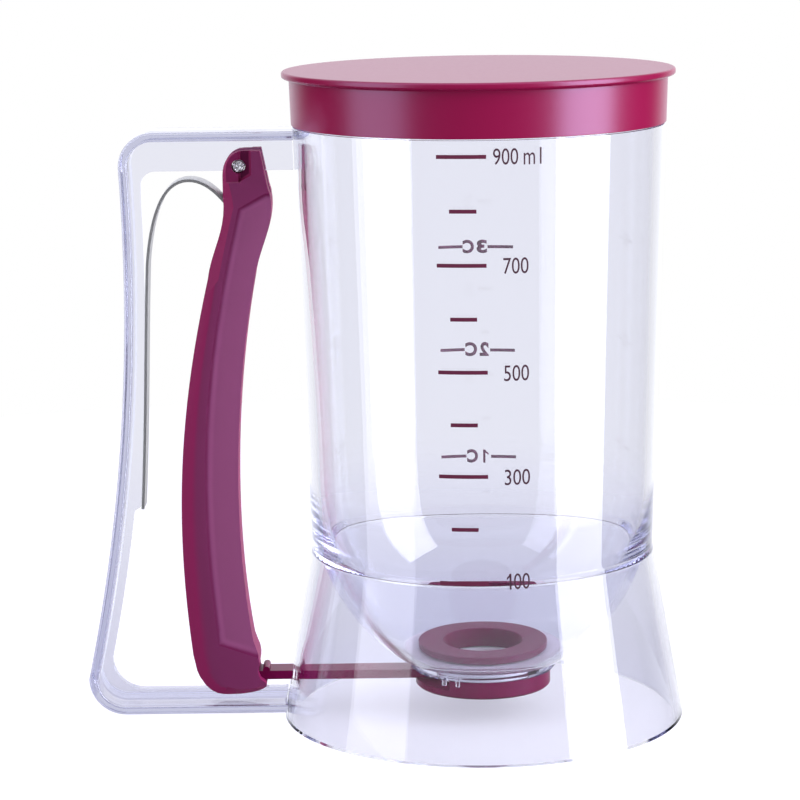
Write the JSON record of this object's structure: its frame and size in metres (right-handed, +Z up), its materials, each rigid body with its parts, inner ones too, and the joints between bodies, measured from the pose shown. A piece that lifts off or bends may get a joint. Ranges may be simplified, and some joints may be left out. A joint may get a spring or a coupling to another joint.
{
  "type": "pancake batter dispenser",
  "caption": "Clear batter jar on a flared base, with a push-on lid and a handle whose finger lever slides a gate open under the outlet.",
  "frame": {"origin": "on the ground under the middle of the bounding box", "axes": "+Z up along the jar, +X from the handle towards the jar, the handle's plane at y = 0"},
  "size_m": [0.1694, 0.114, 0.1838],
  "materials": {
    "clear_plastic": "polished transparent",
    "magenta_plastic": "satin moulded",
    "pin_steel": "drawn wire",
    "spring_steel": "rolled strip",
    "silicone": "matt"
  },
  "bodies": {
    "root": {"jar": "clear_plastic", "base_skirt": "clear_plastic", "handle_frame": "clear_plastic", "pivot_pin": "pin_steel", "leaf_spring": "spring_steel", "seat_ring": "magenta_plastic", "gate_seal": "silicone"},
    "lid": {"lid": "magenta_plastic"},
    "trigger": {"trigger": "magenta_plastic"},
    "gate_slide": {"gate_slide": "magenta_plastic"},
    "valve_cap": {"valve_cap": "magenta_plastic"}
  },
  "joints": [
    {"name": "lid_lift", "type": "slide", "parent": "root", "child": "lid", "axis": [0, 0, 1], "range_m": [0, 0.025]},
    {"name": "trigger_pivot", "type": "hinge", "parent": "root", "child": "trigger", "pos_m": [-0.039, 0, 0.158], "axis": [0, 1, 0], "range_deg": [0, 6.5], "stiffness_Nm_per_rad": 4, "springref_deg": -4.3, "deforming": ["leaf_spring"]},
    {"name": "gate_travel", "type": "slide", "parent": "root", "child": "gate_slide", "axis": [-1, 0, 0], "range_m": [0, 0.01626]},
    {"name": "cap_twist", "type": "hinge", "parent": "root", "child": "valve_cap", "pos_m": [0.0277, 0, 0.0081], "axis": [0, 0, 1], "range_deg": [0, 12]}
  ],
  "couplings": [
    {"joint": "gate_travel", "follows": "trigger_pivot", "m_per_rad": 0.1433}
  ]
}
